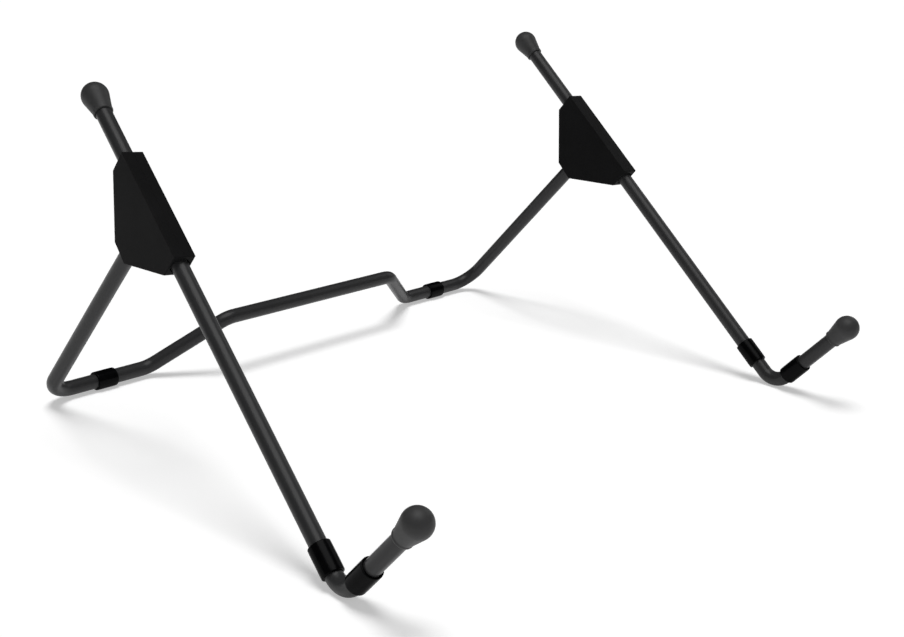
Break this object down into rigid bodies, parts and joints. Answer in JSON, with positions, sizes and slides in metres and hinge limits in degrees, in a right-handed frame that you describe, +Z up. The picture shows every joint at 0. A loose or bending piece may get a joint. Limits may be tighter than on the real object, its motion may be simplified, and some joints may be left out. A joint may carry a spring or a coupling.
{
  "type": "folding instrument stand",
  "caption": "Low folding stand of bent round rod: a rear frame, two swinging front arms with upturned hooks and bulb caps, hinged in flat plastic blocks.",
  "frame": {"origin": "on the floor, under the centre of the stand's bounding box", "axes": "+Z up, +X to the stand's own side along the rear foot line, -Y towards the hooks at the front"},
  "size_m": [0.377, 0.307, 0.1782],
  "materials": {
    "powder_coat": "satin dark grey powder coat",
    "cap_rubber": "matte moulded dark grey rubber",
    "sleeve_vinyl": "glossy black vinyl sleeve",
    "block_plastic": "near-black moulded nylon, fine grain",
    "liner_plastic": "dark grey moulded acetal",
    "clip_steel": "spring steel"
  },
  "bodies": {
    "rear_stand": {"rear_frame": "powder_coat", "left_foot_sleeve": "sleeve_vinyl", "right_foot_sleeve": "sleeve_vinyl"},
    "left_block": {"left_block_outer_half": "block_plastic", "left_block_inner_half": "block_plastic", "left_leg_bush": "liner_plastic", "left_leg_clip": "clip_steel"},
    "left_liner": {"left_arm_liner": "liner_plastic"},
    "left_arm": {"left_front_arm": "powder_coat", "left_top_cap": "cap_rubber", "left_hook_cap": "cap_rubber", "left_arm_sleeve": "sleeve_vinyl", "left_hook_sleeve": "sleeve_vinyl"},
    "right_block": {"right_block_outer_half": "block_plastic", "right_block_inner_half": "block_plastic", "right_leg_bush": "liner_plastic", "right_leg_clip": "clip_steel"},
    "right_liner": {"right_arm_liner": "liner_plastic"},
    "right_arm": {"right_front_arm": "powder_coat", "right_top_cap": "cap_rubber", "right_hook_cap": "cap_rubber", "right_arm_sleeve": "sleeve_vinyl", "right_hook_sleeve": "sleeve_vinyl"}
  },
  "joints": [
    {"name": "left_fold", "type": "hinge", "parent": "rear_stand", "child": "left_block", "pos_m": [-0.15397, 0.04884, 0.12087], "axis": [0, -0.6521, 0.7581], "range_deg": [-15, 98]},
    {"name": "left_arm_turn", "type": "hinge", "parent": "left_block", "child": "left_liner", "pos_m": [-0.15397, 0.04884, 0.12087], "axis": [0.139, 0.786, 0.6024], "continuous": true},
    {"name": "left_arm_slide", "type": "slide", "parent": "left_liner", "child": "left_arm", "axis": [0.139, 0.786, 0.6024], "range_m": [-0.002, 0.14]},
    {"name": "right_fold", "type": "hinge", "parent": "rear_stand", "child": "right_block", "pos_m": [0.17543, 0.04616, 0.11851], "axis": [0, 0.6696, -0.7427], "range_deg": [-15, 79.9]},
    {"name": "right_arm_turn", "type": "hinge", "parent": "right_block", "child": "right_liner", "pos_m": [0.17543, 0.04616, 0.11851], "axis": [0.0749, 0.7768, 0.6253], "continuous": true},
    {"name": "right_arm_slide", "type": "slide", "parent": "right_liner", "child": "right_arm", "axis": [0.0749, 0.7768, 0.6253], "range_m": [-0.002, 0.125]}
  ]
}
